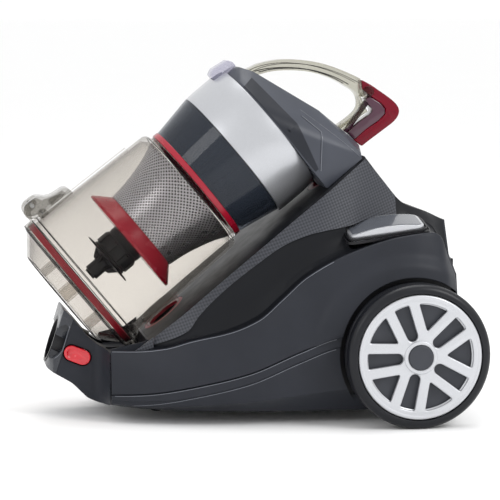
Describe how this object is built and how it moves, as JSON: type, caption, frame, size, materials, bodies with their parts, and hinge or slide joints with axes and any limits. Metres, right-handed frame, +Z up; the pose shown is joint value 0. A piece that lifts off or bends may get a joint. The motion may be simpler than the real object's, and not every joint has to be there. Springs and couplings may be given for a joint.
{
  "type": "canister vacuum cleaner",
  "caption": "Bagless canister vacuum cleaner: a reclined clear cyclone bin with a loop handle on a low wheeled body with a front hose socket and foot pedals.",
  "frame": {"origin": "on the floor plane, at the middle of the machine's length and of its width over the wheels", "axes": "+X towards the rear, -X the hose socket's end; +Y towards the machine's right side as it faces -X; +Z up, floor at z = 0"},
  "size_m": [0.4365, 0.31, 0.3492],
  "materials": {
    "body_plastic": "satin anthracite, finely textured",
    "woven_panel": "woven diamond texture",
    "lip_plastic": "satin mid grey",
    "black_plastic": "matt black",
    "red_rubber": "soft matt crimson",
    "red_plastic": "glossy crimson",
    "steel": "drawn and stamped, bare",
    "fan_alloy": "machined",
    "filter_media": "pleated filter paper",
    "board": "green solder mask",
    "silver_plastic": "metallic silver paint",
    "tyre_rubber": "matt dark grey rubber",
    "wheel_plastic": "satin dark grey",
    "clear_bin": "clear, smoky champagne tint",
    "frosted_clip": "translucent pale lilac",
    "shroud_steel": "fine perforated sheet",
    "cyclone_plastic": "dark blue-black"
  },
  "bodies": {
    "chassis": {"base_shell": "body_plastic", "upper_housing": "body_plastic", "cradle_seat": "black_plastic", "fender_left": "body_plastic", "fender_right": "body_plastic", "side_panel_left": "woven_panel", "side_panel_right": "woven_panel", "nozzle_housing": "body_plastic", "inlet_collar": "lip_plastic", "hose_socket": "black_plastic", "inlet_duct": "black_plastic", "cradle_seals": "red_rubber", "wheel_wells": "black_plastic", "motor_cover": "black_plastic", "motor_housing": "steel", "hepa_filter": "filter_media", "rear_panel": "body_plastic", "reel_bracket": "steel", "cord_outlet": "black_plastic", "control_board": "board", "pedal_frame": "black_plastic", "power_spring": "steel", "rewind_spring": "steel", "shell_screws": "steel", "stub_axles": "steel", "castor_socket": "black_plastic"},
    "fan": {"motor_rotor": "steel", "motor_fan": "fan_alloy"},
    "reel": {"cord_reel": "black_plastic"},
    "exhaust": {"exhaust_cover": "black_plastic"},
    "power_key": {"power_pedal": "silver_plastic"},
    "rewind_key": {"rewind_pedal": "silver_plastic"},
    "button_left": {"hose_button_left": "red_plastic"},
    "button_right": {"hose_button_right": "red_plastic"},
    "wheel_left": {"tyre_left": "tyre_rubber", "rim_left": "silver_plastic", "wheel_disc_left": "wheel_plastic", "hub_cap_left": "wheel_plastic"},
    "wheel_right": {"tyre_right": "tyre_rubber", "rim_right": "silver_plastic", "wheel_disc_right": "wheel_plastic", "hub_cap_right": "wheel_plastic"},
    "castor": {"castor_fork": "steel"},
    "castor_wheel": {"castor_roller": "black_plastic"},
    "bin": {"bin_cylinder": "clear_bin", "door_hinge_pin": "steel", "dust_cone": "black_plastic", "shroud_skirt": "red_plastic", "shroud": "shroud_steel", "collector_ring": "red_plastic", "upper_cone": "clear_bin", "cyclone_body": "cyclone_plastic", "silver_ring": "silver_plastic", "head_cover": "body_plastic", "handle": "clear_bin"},
    "door": {"bin_door": "clear_bin", "door_seal": "red_rubber"},
    "latch": {"door_latch": "clear_bin"},
    "trigger": {"handle_trigger": "red_plastic"},
    "clip": {"release_clip": "frosted_clip"}
  },
  "joints": [
    {"name": "fan_spin", "type": "hinge", "parent": "chassis", "child": "fan", "pos_m": [0.032, 0, 0.098], "axis": [0, 1, 0], "continuous": true},
    {"name": "reel_spin", "type": "hinge", "parent": "chassis", "child": "reel", "pos_m": [0.132, 0, 0.108], "axis": [0, 1, 0], "continuous": true},
    {"name": "exhaust_cover_hinge", "type": "hinge", "parent": "chassis", "child": "exhaust", "pos_m": [0.2014, 0, 0.066], "axis": [0, 1, 0], "range_deg": [0, 80]},
    {"name": "power_pedal_press", "type": "slide", "parent": "chassis", "child": "power_key", "axis": [0.1272, 0.225, -0.966], "range_m": [0, 0.004], "stiffness_N_per_m": 1500, "springref_m": -0.003, "deforming": ["power_spring"]},
    {"name": "rewind_pedal_press", "type": "slide", "parent": "chassis", "child": "rewind_key", "axis": [0.1272, -0.225, -0.966], "range_m": [0, 0.004], "stiffness_N_per_m": 1500, "springref_m": -0.003, "deforming": ["rewind_spring"]},
    {"name": "hose_button_left_press", "type": "slide", "parent": "chassis", "child": "button_left", "axis": [0, 1, 0], "range_m": [0, 0.003], "stiffness_N_per_m": 800, "springref_m": -0.002},
    {"name": "hose_button_right_press", "type": "slide", "parent": "chassis", "child": "button_right", "axis": [0, -1, 0], "range_m": [0, 0.003], "stiffness_N_per_m": 800, "springref_m": -0.002},
    {"name": "wheel_left_spin", "type": "hinge", "parent": "chassis", "child": "wheel_left", "pos_m": [0.15, -0.135, 0.0695], "axis": [0, 1, 0], "continuous": true},
    {"name": "wheel_right_spin", "type": "hinge", "parent": "chassis", "child": "wheel_right", "pos_m": [0.15, 0.135, 0.0695], "axis": [0, 1, 0], "continuous": true},
    {"name": "castor_swivel", "type": "hinge", "parent": "chassis", "child": "castor", "pos_m": [-0.095, 0, 0.028], "axis": [0, 0, 1], "continuous": true},
    {"name": "castor_roll", "type": "hinge", "parent": "castor", "child": "castor_wheel", "pos_m": [-0.086, 0, 0.011], "axis": [0, 1, 0], "continuous": true},
    {"name": "bin_lift", "type": "slide", "parent": "chassis", "child": "bin", "axis": [0, 0, 1], "range_m": [0, 0.2]},
    {"name": "bin_door_hinge", "type": "hinge", "parent": "bin", "child": "door", "pos_m": [-0.10843, 0, 0.06748], "axis": [0, -1, 0], "range_deg": [0, 90]},
    {"name": "door_latch_pivot", "type": "hinge", "parent": "door", "child": "latch", "pos_m": [-0.20864, 0, 0.20791], "axis": [0, -1, 0], "range_deg": [0, 35], "stiffness_Nm_per_rad": 0.2, "springref_deg": -17.19},
    {"name": "trigger_pivot", "type": "hinge", "parent": "bin", "child": "trigger", "pos_m": [0.127, 0, 0.317], "axis": [0, 1, 0], "range_deg": [0, 4], "stiffness_Nm_per_rad": 1.5, "springref_deg": -5.73},
    {"name": "release_clip_tilt", "type": "hinge", "parent": "bin", "child": "clip", "pos_m": [-0.02502, 0, 0.33024], "axis": [0, -1, 0], "range_deg": [0, 6], "stiffness_Nm_per_rad": 0.4, "springref_deg": -5.73}
  ],
  "couplings": [
    {"joint": "bin_door_hinge", "follows": "bin_lift", "rad_per_m": 7.8539}
  ]
}
